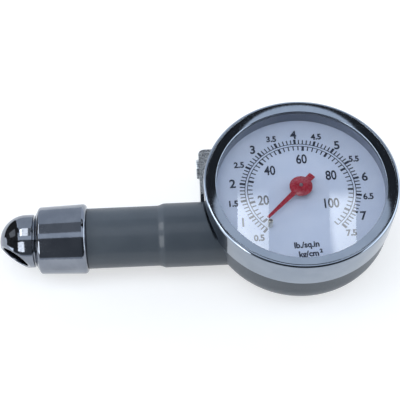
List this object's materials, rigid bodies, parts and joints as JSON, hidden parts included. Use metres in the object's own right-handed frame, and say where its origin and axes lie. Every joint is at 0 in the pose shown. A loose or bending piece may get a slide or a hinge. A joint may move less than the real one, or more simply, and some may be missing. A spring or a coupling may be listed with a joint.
{
  "type": "tire pressure gauge",
  "caption": "Pocket dial gauge for tyre pressure: chromed bezel, white dial, grey cast stem, side bleed button, and a turning ball foot that presses onto a tyre valve.",
  "frame": {"origin": "on the axis of the round head, on its flat back", "axes": "+Z out of the dial, -X along the stem towards the ball foot"},
  "size_m": [0.1088, 0.0526, 0.026],
  "materials": {
    "grey_paint": "semi-gloss slate grey stove paint on zinc casting",
    "chrome": "polished chrome plate",
    "glass": "clear flat glass",
    "dial_white": "matt white print ground with black print",
    "ring_grey": "satin moulded plastic",
    "pointer_red": "gloss red paint",
    "brass": "turned brass",
    "bronze": "drawn phosphor bronze",
    "steel": "turned steel",
    "spring_steel": "drawn spring wire",
    "bright_nickel": "satin nickel plate",
    "black_rubber": "moulded rubber"
  },
  "bodies": {
    "case": {"case_body": "grey_paint", "bezel": "chrome", "crystal": "glass", "crystal_gasket": "black_rubber", "spacer_ring": "ring_grey", "dial_plate": "dial_white", "stop_pin": "steel", "collar": "chrome", "movement_bottom_plate": "brass", "movement_top_plate": "brass", "movement_pillars": "brass", "movement_screws": "steel", "bourdon_tube": "bronze", "hairspring_stud": "brass", "bourdon_socket": "brass", "socket_screws": "steel", "feed_tube": "brass", "feed_gasket": "black_rubber", "check_seat": "brass", "check_spring": "spring_steel", "bleed_housing": "bright_nickel", "bleed_spring": "spring_steel"},
    "pointer": {"pointer": "pointer_red", "pointer_bush": "brass", "pinion_arbor": "steel", "hairspring_collet": "brass", "hairspring": "spring_steel"},
    "sector": {"sector_gear": "brass", "sector_arbor": "steel", "link_pin": "steel"},
    "link": {"link_bar": "brass"},
    "tip": {"bourdon_tip": "bronze", "tip_pin": "steel"},
    "bleed_valve": {"bleed_button": "bright_nickel", "bleed_stem": "brass", "bleed_disc": "black_rubber"},
    "check_valve": {"check_poppet": "brass", "check_disc": "black_rubber"},
    "chuck": {"chuck_body": "chrome", "chuck_seal": "black_rubber", "depressor_pin": "steel", "swivel_seal": "black_rubber"}
  },
  "joints": [
    {"name": "sector_swing", "type": "hinge", "parent": "case", "child": "sector", "pos_m": [-0.00702, 0.00879, 0.0115], "axis": [0, 0, 1], "range_deg": [0, 34], "stiffness_Nm_per_rad": 0.0004},
    {"name": "pointer_spin", "type": "hinge", "parent": "case", "child": "pointer", "pos_m": [0, 0, 0.0225], "axis": [0, 0, 1], "range_deg": [-272, 0], "deforming": ["hairspring"]},
    {"name": "link_turn", "type": "hinge", "parent": "sector", "child": "link", "pos_m": [-0.00252, 0.00863, 0.0129], "axis": [0, 0, 1], "range_deg": [-34, 0]},
    {"name": "tip_move", "type": "slide", "parent": "case", "child": "tip", "axis": [-0.2588, 0.9659, 0], "range_m": [0, 0.00263], "deforming": ["bourdon_tube"]},
    {"name": "bleed_press", "type": "slide", "parent": "case", "child": "bleed_valve", "axis": [1, 0, 0], "range_m": [0, 0.0012], "stiffness_N_per_m": 600, "deforming": ["bleed_spring"]},
    {"name": "check_lift", "type": "slide", "parent": "case", "child": "check_valve", "axis": [1, 0, 0], "range_m": [0, 0.0008], "stiffness_N_per_m": 100, "deforming": ["check_spring"]},
    {"name": "chuck_turn", "type": "hinge", "parent": "case", "child": "chuck", "pos_m": [-0.07, -0.0059, 0.0099], "axis": [-1, 0, 0], "continuous": true}
  ],
  "couplings": [
    {"joint": "pointer_spin", "follows": "sector_swing", "ratio": -8},
    {"joint": "link_turn", "follows": "sector_swing", "ratio": -1},
    {"joint": "tip_move", "follows": "sector_swing", "m_per_rad": 0.0044343}
  ]
}
